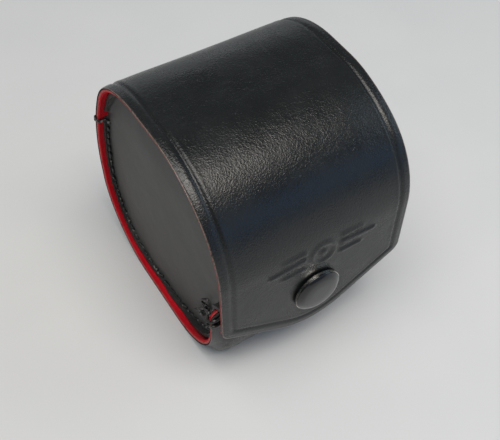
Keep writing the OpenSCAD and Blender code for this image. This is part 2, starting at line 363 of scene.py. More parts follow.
def leather(name, base, worn, rough_low, rough_high, grain, wrinkles):
    mat, shader, place = material(name, specular=0.5)
    warp = place.node("ShaderNodeTexNoise", None, 1, Vector=place, Scale=0.5, Detail=2.0)
    moved = place.node("ShaderNodeVectorMath", {"operation": "MULTIPLY_ADD"}, _0=warp, _1=(1.6, 1.6, 1.6),
                       _2=place)
    pebbles = cells(moved, 2.3, "SMOOTH_F1").ramp(0.15, 0.62, 1.0, 0.0)
    fine = noise(place, 5.5, 3.0, 0.6)
    pores = cells(place, 5.0).ramp(0.0, 0.22)
    pulled = place.node("ShaderNodeMapping", None, 0, Vector=moved, Scale=(0.28, 0.75, 0.75))
    lines = noise(pulled, 1.8, 3.0, 0.62, 0.6).ramp(0.42, 0.60)
    patch = noise(place, 0.045, 2.0, 0.5).ramp(0.38, 0.62)
    height = pebbles * (0.6 * grain) + fine * 0.35 + pores * 0.18 + lines * patch * wrinkles
    edge = value_on(place, "edge")
    blotch = noise(place, 0.11, 4.0, 0.6)
    stretched = place.node("ShaderNodeMapping", None, 0, Vector=place, Scale=(0.5, 2.2, 1.1))
    scuffs = noise(stretched, 0.9, 4.0, 0.75)
    scuffs = scuffs.ramp(0.66, 0.80)
    rubbed = edge.ramp(0.0, 0.75, 1.0, 0.0) * noise(place, 1.4, 3.0, 0.7).ramp(0.4, 0.66)
    bare = edge.ramp(0.05, 0.32, 1.0, 0.0) * noise(place, 0.8, 3.0, 0.7).ramp(0.30, 0.52)
    tone = blotch.ramp(0.3, 0.7).colour(base, tuple(c * 1.35 for c in base[:3]) + (1,))
    tone = (rubbed * 0.75 + scuffs * 0.16).colour(tone, worn)
    tone = (bare * 0.8).colour(tone, (0.24, 0.17, 0.14, 1))
    roughness = blotch.ramp(0.3, 0.75, rough_low, rough_high) + scuffs * 0.12 - pebbles * 0.05 + rubbed * 0.12
    big = noise(place, 0.16, 2.0, 0.4)
    normal = bump(height, 0.040, 0.85, bump(big, 0.5, 0.25))
    feed(shader, place, Base_Color=tone, Roughness=roughness, Normal=normal)
    return mat


black_leather = leather("grained_black_leather", (0.0050, 0.0058, 0.0060, 1), (0.060, 0.052, 0.048, 1),
                        0.28, 0.36, 1.35, 0.45)

# %% [markdown]
# The end panels are the same hide but matt, smoother and greyer. Where leather is cut, the raw edge shows
# a pinkish red, from the dye of the lining side.

# %% Panel leather and cut edge


def panel_leather(name):
    mat, shader, place = material(name, specular=0.35)
    fine = noise(place, 4.2, 4.0, 0.65)
    pores = cells(place, 3.3).ramp(0.0, 0.3)
    blotch = noise(place, 0.09, 4.0, 0.6)
    stretched = place.node("ShaderNodeMapping", None, 0, Vector=place, Scale=(1, 0.35, 1.8))
    scuffs = noise(stretched, 0.8, 4.0, 0.7)
    scuffs = scuffs.ramp(0.63, 0.78)
    # The flange and its bend are darkened towards black: painted shade for the narrow gap between the flange and
    # the panel's face.
    painted_flange_shade = value_on(place, "inset").ramp(2.1, 3.2, 1.0, 0.0)
    tone = blotch.ramp(0.3, 0.7).colour((0.069, 0.069, 0.067, 1), (0.087, 0.087, 0.084, 1))
    tone = (scuffs * 0.30).colour(tone, (0.15, 0.145, 0.14, 1))
    tone = (painted_flange_shade * 0.8).colour(tone, (0.012, 0.012, 0.012, 1))
    roughness = blotch.ramp(0.3, 0.7, 0.52, 0.62)
    normal = bump(fine * 0.6 + pores * 0.3, 0.06, 0.6, bump(noise(place, 0.12, 2.0), 1.0, 0.3))
    feed(shader, place, Base_Color=tone, Roughness=roughness, Normal=normal)
    return mat


def cut_edge(name):
    mat, shader, place = material(name, specular=0.15)
    fibre = noise(place, 3.0, 4.0, 0.7)
    stain = noise(place, 0.35, 3.0, 0.6)
    tone = fibre.ramp(0.3, 0.7).colour((0.46, 0.035, 0.042, 1), (0.62, 0.17, 0.15, 1))
    tone = stain.ramp(0.56, 0.72).colour(tone, (0.16, 0.03, 0.03, 1))
    dyed = (value_on(place, "depth") + fibre * 0.3).ramp(0.66, 0.50)
    tone = dyed.colour(tone, (0.014, 0.013, 0.014, 1))
    feed(shader, place, Base_Color=tone, Roughness=fibre.ramp(0.2, 0.8, 0.65, 0.85),
         Normal=bump(fibre, 0.12, 0.8))
    return mat


matt_leather = panel_leather("matt_panel_leather")
raw_edge = cut_edge("raw_cut_edge")

# %% [markdown]
# The lining is a thin red flannel: matt, with a short nap that catches light at grazing angles, and a plain
# weave that only just shows.

# %% Lining, thread and metals


def red_flannel(name):
    mat, shader, place = material(name, sheen=0.12, specular=0.08)
    shader.inputs["Sheen Tint"].default_value = (1, 0.25, 0.25, 1)
    nap = noise(place, 3.6, 4.0, 0.7)
    patches = noise(place, 0.18, 3.0, 0.6)
    weave = place.node("ShaderNodeTexWave", {"wave_type": "BANDS", "bands_direction": "X"}, 1, Vector=place,
                       Scale=1.1, Distortion=1.2, Detail=2.0)
    weft = place.node("ShaderNodeTexWave", {"wave_type": "BANDS", "bands_direction": "DIAGONAL"}, 1, Vector=place,
                      Scale=0.9, Distortion=1.2, Detail=2.0)
    tone = patches.ramp(0.3, 0.7).colour((0.58, 0.006, 0.016, 1), (0.70, 0.014, 0.026, 1))
    tone = nap.ramp(0.35, 0.75).colour(tone, (0.46, 0.004, 0.012, 1))
    feed(shader, place, Base_Color=tone, Roughness=nap.ramp(0.2, 0.8, 0.82, 0.95),
         Normal=bump(nap * 0.7 + weave * weft * 0.5, 0.09, 0.7))
    return mat


def waxed_thread(name):
    mat, shader, place = material(name, specular=0.5)
    fibre = noise(place, 6.0, 3.0, 0.7)
    # This noise paints pale patches into the thread's colour as painted glints, and it also makes the thread
    # rougher there.
    wax_and_painted_glints = noise(place, 1.1, 2.0, 0.5)
    tone = wax_and_painted_glints.ramp(0.56, 0.70).colour((0.007, 0.007, 0.008, 1), (0.22, 0.21, 0.20, 1))
    feed(shader, place, Base_Color=tone, Roughness=wax_and_painted_glints.ramp(0.4, 0.7, 0.36, 0.6), Normal=bump(fibre, 0.05, 0.7))
    return mat


def black_lacquer(name):
    mat, shader, place = material(name, coat=0.45, coat_rough=0.07, specular=0.35)
    wear = noise(place, 1.3, 4.0, 0.7).ramp(0.62, 0.74)
    peel = noise(place, 0.9, 2.0, 0.5)
    tone = (wear * 0.25).colour((0.006, 0.006, 0.007, 1), (0.06, 0.06, 0.062, 1))
    feed(shader, place, Base_Color=tone, Roughness=wear.ramp(0, 1, 0.16, 0.34), Normal=bump(peel, 0.03, 0.35))
    return mat


def nickel(name, tint=(0.62, 0.60, 0.56, 1)):
    mat, shader, place = material(name, metallic=1.0)
    tarnish = noise(place, 0.7, 4.0, 0.65)
    tone = tarnish.ramp(0.45, 0.75).colour(tint, (0.34, 0.30, 0.24, 1))
    feed(shader, place, Base_Color=tone, Roughness=tarnish.ramp(0.3, 0.8, 0.18, 0.42),
         Normal=bump(noise(place, 2.5, 3.0), 0.02, 0.4))
    return mat


def board(name):
    mat, shader, place = material(name, specular=0.2)
    fibre = noise(place, 2.2, 4.0, 0.7)
    tone = fibre.ramp(0.3, 0.7).colour((0.20, 0.15, 0.10, 1), (0.32, 0.25, 0.18, 1))
    feed(shader, place, Base_Color=tone, Roughness=fibre.ramp(0, 1, 0.8, 0.95), Normal=bump(fibre, 0.08, 0.6))
    return mat


flannel = red_flannel("red_flannel")
thread_black = waxed_thread("waxed_thread")
lacquer = black_lacquer("black_lacquer")
plated = nickel("nickel_plate")
steel = nickel("spring_steel", (0.55, 0.55, 0.56, 1))
grey_board = board("leatherboard")

# %% [markdown]
# ## The section of the case
# Seen from the end, the case is a chain of straights and arcs that run smoothly into each other. A walk
# along it is easy to describe: so far straight on, then a turn of so many degrees at such a radius. Both
# walks start at the middle of the bottom. One goes back, up and over to the tip of the flap. The other
# goes forwards and up the lip. The arc radii are shares of the depth, as on the CAD part.

# %% Section
depth = back_y - lip_y
crown_r = round(0.4425 * depth)
upper_back_r = round(0.9587 * depth)
lean = math.atan2(336, 527)
back_top = case_height - crown_r - (upper_back_r - crown_r) * math.sin(lean)
back_corner_r = min(round(0.354 * depth), math.floor(back_top) - 1)
front_corner_r = round(0.339 * depth)
crown_back_y = back_y - upper_back_r + (upper_back_r - crown_r) * math.cos(lean)
flap_y = flap_low[1] + 0.25
crown_front_y = flap_y + crown_r
front_wall_top = case_height - crown_r
LIP_TOP = 30.0


class Walk:
    """A chain of straights and arcs in the Y-Z plane. way is +1 for the walk that starts backwards."""

    def __init__(self, way):
        self.way = way
        self.parts = []
        self.y, self.z, self.heading, self.length = 0.0, 0.0, 0.0, 0.0

    def straight(self, distance):
        self.parts.append((self.length, distance, None, self.y, self.z, self.heading))
        self.y += distance * math.cos(self.heading)
        self.z += distance * math.sin(self.heading)
        self.length += distance
        return self

    def turn(self, radius, angle):
        self.parts.append((self.length, radius * angle, radius, self.y, self.z, self.heading))
        new = self.heading + angle
        self.y += radius * (math.sin(new) - math.sin(self.heading))
        self.z += radius * (math.cos(self.heading) - math.cos(new))
        self.heading = new
        self.length += radius * angle
        return self

    def at(self, s):
        """y, z and the outward normal at each distance s along the walk."""
        s = np.asarray(s, float)
        y, z, heading = np.zeros_like(s), np.zeros_like(s), np.zeros_like(s)
        for i, (start, length, radius, y0, z0, h0) in enumerate(self.parts):
            last = i == len(self.parts) - 1
            here = (s >= start) | (i == 0)
            here &= (s < start + length) | last
            along = s[here] - start
            if radius is None:
                heading[here] = h0
                y[here] = y0 + along * math.cos(h0)
                z[here] = z0 + along * math.sin(h0)
            else:
                h = h0 + along / radius
                heading[here] = h
                y[here] = y0 + radius * (np.sin(h) - math.sin(h0))
                z[here] = z0 + radius * (math.cos(h0) - np.cos(h))
        return self.way * y, z, self.way * np.sin(heading), -np.cos(heading)

    def place(self, x, s, out):
        """Points at (x, s) on the pattern, lifted by out from the section, never below the table."""
        y, z, ny, nz = self.at(s)
        return np.stack([x, y + ny * out, np.maximum(z + nz * out, 0.0)], 1)


over = Walk(1)
over.straight(back_y - back_corner_r)
over.turn(back_corner_r, math.pi / 2)
over.straight(back_top - back_corner_r)
over.turn(upper_back_r, lean)
over.turn(crown_r, math.pi / 2 - lean)
over.straight(crown_back_y - crown_front_y)
over.turn(crown_r, math.pi / 2)
wall_start = over.length
over.straight(front_wall_top - tongue_tip)

front = Walk(-1)
front.straight(-lip_y - front_corner_r)
front.turn(front_corner_r, math.pi / 2)
front.straight(LIP_TOP - front_corner_r)

back_arc_start = back_y - back_corner_r
back_arc_end = back_arc_start + back_corner_r * math.pi / 2
upper_arc_start = back_arc_end + back_top - back_corner_r
fold_s = upper_arc_start + upper_back_r * math.asin((hinge[1] - back_top) / upper_back_r)
seam_end_s = upper_arc_start + upper_back_r * math.atan2(44, 117)
front_arc_start = -lip_y - front_corner_r
shoulder_s = upper_arc_start + upper_back_r * lean + crown_r * math.radians(18)
print("walk over the top", round(over.length, 1), "mm, up the lip", round(front.length, 1), "mm")

# %% [markdown]
# ## The outline of the flap
# The flap ends in a broad tongue: a round tip, two straight shoulders and small round corners. The same
# outline is wanted twice, once to cut the flap and once to measure how far each point is from the edge,
# because the pressed crease runs at a constant distance inside it.

# %% Flap outline
TONGUE_R = 21.0
SHOULDER = math.radians(28.4)
CORNER_R = 4.0


def tongue_outline(inset):
    """Corner points (x, z) of half the flap's lower edge, from the tip to the side."""
    w = half_length - inset
    r = max(CORNER_R - inset, 0.8)
    tip_z = tongue_tip + TONGUE_R
    turn = np.linspace(0, SHOULDER, 24)
    tip = np.stack([(TONGUE_R - inset) * np.sin(turn), tip_z - (TONGUE_R - inset) * np.cos(turn)], 1)
    foot = tip[-1]
    corner_x = w - r
    corner_z = foot[1] + (corner_x - foot[0]) * math.tan(SHOULDER) + r / math.cos(SHOULDER)
    turn = np.linspace(SHOULDER, math.pi / 2, 16)
    corner = np.stack([corner_x + r * np.sin(turn), corner_z - r * np.cos(turn)], 1)
    return np.concatenate([tip, corner])


def flap_end(x, inset=0.0):
    """Height of the flap's edge at x."""
    outline = tongue_outline(inset)
    return np.interp(np.abs(x), outline[:, 0], outline[:, 1])


def edge_distance(x, z):
    """How far each point of the flap's front lies from its cut edge."""
    outline = tongue_outline(0)
    side = np.stack([np.full(60, half_length), np.linspace(outline[-1, 1], outline[-1, 1] + 60, 60)], 1)
    curve = np.concatenate([outline, side])
    ends = curve[1:]
    starts = curve[:-1]
    points = np.stack([np.abs(x), z], 1)
    best = np.full(len(points), 1e9)
    for a, b in zip(starts, ends):
        line = b - a
        t = np.clip((points - a) @ line / max(line @ line, 1e-12), 0, 1)
        gap = np.linalg.norm(points - a - t[:, None] * line, axis=1)
        best = np.minimum(best, gap)
    return best


print("flap edge: tip", round(float(flap_end(0)), 1), "side", round(float(flap_end(half_length)), 1))

# %% [markdown]
# ## Columns and rows
# Leather shows most of its detail near its edges: the rounded cut, the crease, the stitches. So the columns
# of the pattern stand close together there and further apart in the middle.

# %% Columns and rows


def columns_to(half, fine=0.3, coarse=0.62, fine_to=6.5):
    """Column places from -half to half, close together near both edges."""
    offsets = [0.0, 0.1, 0.25]
    while offsets[-1] < half - 0.2:
        offsets.append(offsets[-1] + (fine if offsets[-1] < fine_to else coarse))
    side = half - np.array(offsets[:-1])
    return np.concatenate([-side, [0.0], side[::-1]])


def rows_between(start, end, spacing):
    return np.linspace(start, end, max(2, int(round(abs(end - start) / spacing)) + 1))


# %% [markdown]
# ## How the leather rises and falls
# Under the leather lies a board that stops short of the edge. The crease is pressed beside it, so the edge
# band lies a little lower, with a groove and two soft shoulders. Sewing pulls the strip in along the seam,
# while the middle stands out fuller and squarer at the bottom corners.

# %% Leather relief
CREASE = 3.2
STITCH_X = panel_high[0] - 1.9
STITCH_PITCH = 3.6
BAND_DROP = 0.22
GROOVE = 0.27
FRONT_FULLNESS = 4.3
BACK_FULLNESS = 2.2
SHOULDER_FULLNESS = 1.25
RIGHT_DROOP = 1.2


def crease_relief(d):
    """Height of the flap's leather at distance d from its edge."""
    height = -BAND_DROP * (1 - step(CREASE - 0.4, CREASE + 1.2, d))
    height -= GROOVE * ridge(CREASE, 0.38, d)
    height += 0.05 * ridge(CREASE + 1.05, 0.6, d) + 0.14 * ridge(CREASE - 1.3, 0.8, d)
    return height


def edge_round(d):
    """The cut edge is burnished slightly round."""
    return -0.22 * (1 - step(0, 0.7, d)) ** 2


def seam_relief(x, from_start):
    """The stitch line sinks in, deepest at the stitch holes."""
    across = ridge(STITCH_X, 0.62, np.abs(x))
    hole = 0.5 + 0.5 * np.cos(math.tau * from_start / STITCH_PITCH)
    return -across * (0.30 + 0.25 * hole ** 3) - 0.18 * ridge(STITCH_X, 1.7, np.abs(x))


def fullness(x, s, start, length, amount):
    """The middle of the strip stands out from the sewn edges at a bottom corner."""
    across = 1 - step(half_length - 4.4, half_length - 0.4, np.abs(x))
    t = np.clip((s - start) / length, 0, 1)
    return amount * across * np.sin(math.pi * t) ** 2


def over_relief(x, s, z_on_front):
    """Height of the strip that goes over the top, and each point's distance from its edge."""
    on_wall = s > wall_start - 20
    d = half_length - np.abs(x)
    d = np.where(on_wall, np.minimum(d, edge_distance(x, z_on_front)), d)
    flap_part = step(seam_end_s + 1, fold_s + 6, s)
    sewn_part = 1 - step(seam_end_s, seam_end_s + 1.5, s)
    height = flap_part * crease_relief(d) + edge_round(d)
    height += sewn_part * seam_relief(x, s - seam_end_s)
    height += fullness(x, s, back_arc_start, back_arc_end - back_arc_start, BACK_FULLNESS)
    height += SHOULDER_FULLNESS * ridge(shoulder_s, 15.0, s)
    height -= RIGHT_DROOP * step(15, 29, x) * ridge(wall_start - crown_r * 1.15, 13.0, s)
    middle = step(CREASE + 1, CREASE + 9, d)
    height += 0.10 * middle * waves(x, s, 3, 52) + 0.012 * step(0.5, 3, d) * waves(x, s, 5, 13)
    return height, d


# %% [markdown]
# ## An ornament in place of lettering
# The flap carries a raised pressed mark above the stud. Here it is a plain ornament: a ring with a dot,
# and tapering bars on both sides. It is raised by lifting the leather inside its shape, with a soft edge,
# as a brass stamp pressed from behind would do.

# %% Ornament
ORNAMENT_X = 1.2
ORNAMENT_Z = snap_z + 14.8
ORNAMENT_RISE = 0.46


def bar(x, z, x0, x1, middle, half_inner, half_outer):
    """Inside measure of a tapering bar, above 0 inside, in millimetres."""
    along = np.clip((np.abs(x) - x0) / (x1 - x0), 0, 1)
    half = half_inner + (half_outer - half_inner) * along
    return np.minimum(np.minimum(half - np.abs(z - middle), np.abs(x) - x0), x1 - np.abs(x))


def ornament(x, z):
    """0 outside the mark, 1 on it, with a soft edge."""
    x = x - ORNAMENT_X
    up = z - ORNAMENT_Z
    r = np.hypot(x, up)
    inside = np.maximum(0.65 - np.abs(r - 3.5), 1.2 - r)
    inside = np.maximum(inside, bar(x, up, 5.4, 16.5, 0.0, 1.3, 0.6))
    for side in (-1, 1):
        inside = np.maximum(inside, bar(x, side * up, 5.4, 12.5, 3.1, 0.75, 0.45))
    return step(-0.3, 0.3, inside)


# %% [markdown]
# ## The strip that goes over the top
# This is the large piece of leather: from the middle of the bottom, up the back, over the top and down to
# the tip of the tongue. It is laid out flat, gets its relief, is wrapped on the section, and is given its
# thickness inwards. The thickness has its own material on the rim, because the cut edge is raw.

# %% Strip over the top
LEATHER_T = 1.05


def strip_pattern(name, edge_inset, column_fine, row_coarse):
    """Flat pattern of the long piece. Returns the object, x and s for each vertex, and z on the front wall."""
    half = half_length - edge_inset
    xs = columns_to(half, fine=column_fine)
    rows_body = rows_between(0, fold_s - 8, row_coarse)
    rows_fold = rows_between(fold_s - 8, fold_s + 8, row_coarse * 0.7)
    rows_top = rows_between(fold_s + 8, wall_start, row_coarse)
    plain = np.concatenate([rows_body[:-1], rows_fold[:-1], rows_top])
    wall_rows = int((front_wall_top - tongue_tip) / (row_coarse * 0.52))
    share = np.linspace(0, 1, wall_rows + 1)[1:]
    share = 1 - (1 - share) ** 1.15
    obj, column, row = flat_grid(name, len(xs), len(plain) + wall_rows)
    x = xs[column]
    s = np.zeros(len(x))
    plain_row = row < len(plain)
    s[plain_row] = plain[row[plain_row]]
    on_wall = ~plain_row
    drop = front_wall_top - flap_end(x[on_wall], edge_inset)
    s[on_wall] = wall_start + drop * share[row[on_wall] - len(plain)]
    z = front_wall_top - (s - wall_start)
    return obj, x, s, z


strip_over, x, s, z = strip_pattern("strip_over", 0.0, 0.3, 0.8)
height, d = over_relief(x, s, z)
height += ORNAMENT_RISE * ornament(x, z) * (s > wall_start - 5)
height -= 0.12 * ridge(7.6, 1.0, np.hypot(x, z - snap_z)) * (s > wall_start)
set_vertices(strip_over, over.place(x, s, height))
set_value(strip_over, "edge", d)
outward(strip_over)
print("strip over the top:", len(strip_over.data.polygons), "faces")

# %% [markdown]
# The side that faces out must really face out before the wall gets its thickness. The normals of an open
# sheet can only be made to agree with each other, so one face on top is tested and the sheet is flipped
# if it looks down.

# %% Turn the sheet the right way


def face_away_from(obj, inside_mm):
    """Flips an open sheet if most of it faces the point inside_mm."""
    mesh = obj.data
    centres = np.array([p.center for p in mesh.polygons]) / MM
    normals = np.array([p.normal for p in mesh.polygons])
    if np.sum((centres - np.array(inside_mm)) * normals) < 0:
        edit(obj, bpy.ops.mesh.flip_normals)
    return obj


CASE_MIDDLE = (0.0, -2.0, 38.0)
face_away_from(strip_over, CASE_MIDDLE)
coated(strip_over, black_leather, raw_edge)
thicken(strip_over, LEATHER_T, 1)
print("strip with thickness:", len(strip_over.data.polygons), "faces")

# %% [markdown]
# ## The lip
# The front half of the bottom, the front corner and the lip are the other part of the same leather. It
# meets the long piece at the middle of the bottom. The lip's upper corners are cut round.

# %% Lip strip


def lip_end(x, inset=0.0):
    """Distance along the walk to the lip's top edge at x."""
    r = 3.0
    side = np.clip(np.abs(x) - (half_length - inset - r), 0, r)
    return front.length - inset - (r - np.sqrt(np.maximum(r * r - side * side, 0)))


def lip_pattern(name, edge_inset, column_fine, row_coarse):
    half = half_length - edge_inset
    xs = columns_to(half, fine=column_fine)
    rows = int(front.length / row_coarse)
    obj, column, row = flat_grid(name, len(xs), rows)
    x = xs[column]
    share = row / (rows - 1)
    s = lip_end(x, edge_inset) * share
    return obj, x, s


def lip_relief(x, s):
    d = np.minimum(half_length - np.abs(x), np.maximum(lip_end(x) - s, 0))
    height = edge_round(d) + seam_relief(x, front.length - 2 - s) * (1 - step(-2.5, -0.5, s - front.length))
    height += fullness(x, s, front_arc_start - 3, front_corner_r * math.pi / 2 + 5, FRONT_FULLNESS)
    height += 0.12 * step(5, 12, d) * waves(x, s, 8, 30)
    return height, d


strip_lip, x, s = lip_pattern("strip_lip", 0.0, 0.3, 0.75)
height, d = lip_relief(x, s)
set_vertices(strip_lip, front.place(x, s, height))
set_value(strip_lip, "edge", d)
outward(strip_lip)
face_away_from(strip_lip, CASE_MIDDLE)
coated(strip_lip, black_leather, raw_edge)
thicken(strip_lip, LEATHER_T, 1)
print("lip strip:", len(strip_lip.data.polygons), "faces")

# %% [markdown]
# ## The red lining
# The lining is glued to the leather near the edges, and lies over the board further in, so it has a low
# step along the sides. It is cut a hair smaller than the leather, and it shows in the open ends.

# %% Lining
LINING_T = 0.5
BOARD_T = 0.8
LINING_INSET = 0.25


def lining_depth(x, board_half, board_share):
    """How far below the leather's face the lining starts."""
    on_board = 1 - step(board_half - 0.2, board_half + 1.0, np.abs(x))
    return LEATHER_T + 0.04 + (BOARD_T + 0.04) * on_board * board_share


lining_over, x, s, z = strip_pattern("lining_over", LINING_INSET, 0.6, 1.2)
height, d = over_relief(x, s, z)
on_flap = step(fold_s + 9, fold_s + 12, s)
on_body = 1 - step(fold_s - 9, fold_s - 6, s)
inside_crease = step(CREASE - 0.3, CREASE + 0.9, d)
share = np.maximum(on_flap * inside_crease, on_body)
board_half = np.where(on_flap > 0, half_length - CREASE, box_mm("body_board")[1][0])
below = lining_depth(x, board_half, share)
set_vertices(lining_over, over.place(x, s, height - below))
outward(lining_over)
face_away_from(lining_over, CASE_MIDDLE)
coated(lining_over, flannel)
thicken(lining_over, LINING_T)

lining_lip, x, s = lip_pattern("lining_lip", LINING_INSET, 0.6, 1.2)
height, d = lip_relief(x, s)
below = lining_depth(x, box_mm("body_board")[1][0], 1 - step(front.length - 4, front.length - 2.5, s))
set_vertices(lining_lip, front.place(x, s, height - below))
outward(lining_lip)
face_away_from(lining_lip, CASE_MIDDLE)
coated(lining_lip, flannel)
thicken(lining_lip, LINING_T)
print("lining:", len(lining_over.data.polygons) + len(lining_lip.data.polygons), "faces")

# %% [markdown]
# ## The stiffening boards
# Between leather and lining lies a thin grey board. One piece runs from the lip, through the bottom and up
# the back, and stops short of the fold. A second one stiffens the flap. They follow the same section as the
# leather, so that leather, board and lining stay one sandwich however full the leather stands.

# %% Boards
BOARD_DEPTH = LEATHER_T + 0.03


def board_sheet(name, xs, rows, ends):
    """A flat sheet of board: ends(x) gives the first and last place along the walk for each column."""
    obj, column, row = flat_grid(name, len(xs), rows)
    x = xs[column]
    first, last = ends(x)
    return obj, x, first + (last - first) * row / (rows - 1)


def body_ends(x):
    return 0 * x - (front.length - 4.3), 0 * x + fold_s - 9.3


def flap_ends(x):
    return 0 * x + fold_s + 12.3, wall_start + front_wall_top - flap_end(x, CREASE + 0.7)


board_edge = box_mm("body_board")[1][0] - 0.4
body_board, x, s = board_sheet("board_body", np.linspace(-board_edge, board_edge, 45), 110, body_ends)
up_back = over.place(x, np.maximum(s, 0), over_relief(x, np.maximum(s, 0), 0 * x)[0] - BOARD_DEPTH)
up_lip = front.place(x, np.maximum(-s, 0), lip_relief(x, np.maximum(-s, 0))[0] - BOARD_DEPTH)
set_vertices(body_board, np.where((s > 0)[:, None], up_back, up_lip))

board_edge = half_length - CREASE - 0.9
flap_board, x, s = board_sheet("board_flap", np.linspace(-board_edge, board_edge, 45), 90, flap_ends)
height, d = over_relief(x, s, front_wall_top - (s - wall_start))
set_vertices(flap_board, over.place(x, s, height - BOARD_DEPTH))

for obj in (body_board, flap_board):
    outward(obj)
    face_away_from(obj, CASE_MIDDLE)
    coated(obj, grey_board)
    thicken(obj, BOARD_T)
print("boards:", len(body_board.data.polygons) + len(flap_board.data.polygons), "faces")

# %% [markdown]
# ## The end panels
# An end panel is a gusset: a flat plate of leather whose rim is turned outwards and sewn to the strip. Seen
# as a loft it is a row of rings, all of the panel's outline: the first ring is the free edge of the flange,
# then the rings go round the bend and inwards over the face. The face is slightly pillowed. Where the rim
# isn't sewn, it reaches up to the closed flap.

# %% Panel outline
FLANGE_DEPTH = 2.85
PANEL_RECESS = 5
PANEL_FACE = half_length - PANEL_RECESS
FLANGE_W = panel_high[0] - PANEL_FACE
PANEL_T = 1.2
BEND_R = 0.75


def panel_loop(count, inset):
    """Points (y, z) and outward normals of the panel's outline, evenly spaced, drawn in by inset."""
    lo = FLANGE_DEPTH
    top = panel_high[2] - PANEL_T
    outer_r = upper_back_r - (lo - PANEL_T)
    sin_end = 44 / 125
    wanted_r = (panel_high[2] - back_top - outer_r * sin_end) / (1 - sin_end)
    back_r = wanted_r - PANEL_T
    shift = outer_r - wanted_r
    front_r = round(0.354 * depth) - PANEL_T
    back_y0 = back_y - upper_back_r + shift * 117 / 125
    front_y0 = lip_y + lo + front_r
    ring = Walk(1)
    ring.y, ring.z = 0.0, lo
    ring.straight(back_y - back_corner_r)
    ring.turn(back_corner_r - lo, math.pi / 2)
    ring.straight(back_top - back_corner_r)
    ring.turn(upper_back_r - lo, math.atan2(44, 117))
    ring.turn(back_r, math.pi / 2 - math.atan2(44, 117))
    ring.straight(back_y0 - front_y0)
    ring.turn(front_r, math.pi / 2)
    ring.straight(top - front_r - front_corner_r)
    ring.turn(front_corner_r - lo, math.pi / 2)
    ring.straight(-lip_y - front_corner_r)
    s = np.arange(count) / count * ring.length
    y, z, ny, nz = ring.at(s)
    return np.stack([y - ny * inset, z - nz * inset], 1), np.stack([ny, nz], 1), s, ring.length


loop, loop_normals, loop_s, loop_length = panel_loop(240, 0.0)
print("panel outline", round(loop_length, 1), "mm; top at", round(float(loop[:, 1].max()), 2))

# %% Panel loft
PANEL_COUNT = 240
PANEL_MIDDLE = np.array([-1.0, 37.0])
PANEL_FULLNESS = 1.1


RIM_UNDER_FLAP = 3.9
FLANGE_LIFT = 0.5
sewn_back = (back_y - back_corner_r + (back_corner_r - FLANGE_DEPTH) * math.pi / 2 + back_top - back_corner_r
             + (upper_back_r - FLANGE_DEPTH) * math.atan2(44, 117))
sewn_front = (loop_length - (-lip_y - front_corner_r) - (front_corner_r - FLANGE_DEPTH) * math.pi / 2
              - (LIP_TOP - front_corner_r))
flap_line = np.stack(over.at(np.linspace(fold_s, over.length, 400))[:2], 1)
gap_to_flap = np.linalg.norm(loop[:, None] - flap_line[None], axis=2).min(axis=1)
free_rim = step(sewn_back + 1, sewn_back + 5, loop_s) * (1 - step(sewn_front - 6.5, sewn_front - 0.5, loop_s))
print("the free rim reaches out up to", round(float(((gap_to_flap - RIM_UNDER_FLAP) * free_rim).max()), 2), "mm")


def stands_out(y, z):
    """How much further out the panel lies than in front: the gusset is fuller along the back and bottom."""
    return step(-26, 8, y) * (1 - step(56, 70, z))


def panel_rings():
    """(x, inset, share of the way to the middle) of each ring, from the flange's free edge inwards."""
    rings = []
    for part in np.linspace(0, 1, 6):
        rings.append((PANEL_FACE + FLANGE_W - (FLANGE_W - BEND_R) * part, 0.0, 0.0))
    for angle in np.linspace(0, math.pi / 2, 6)[1:]:
        rings.append((PANEL_FACE + BEND_R * (1 - math.sin(angle)), BEND_R * (1 - math.cos(angle)), 0.0))
    for inset in (1.9, 2.6, 3.6, 5):
        rings.append((PANEL_FACE, inset, 0.0))
    for share in np.linspace(0.06, 1, 18):
        rings.append((PANEL_FACE, 5.0, share))
    return rings


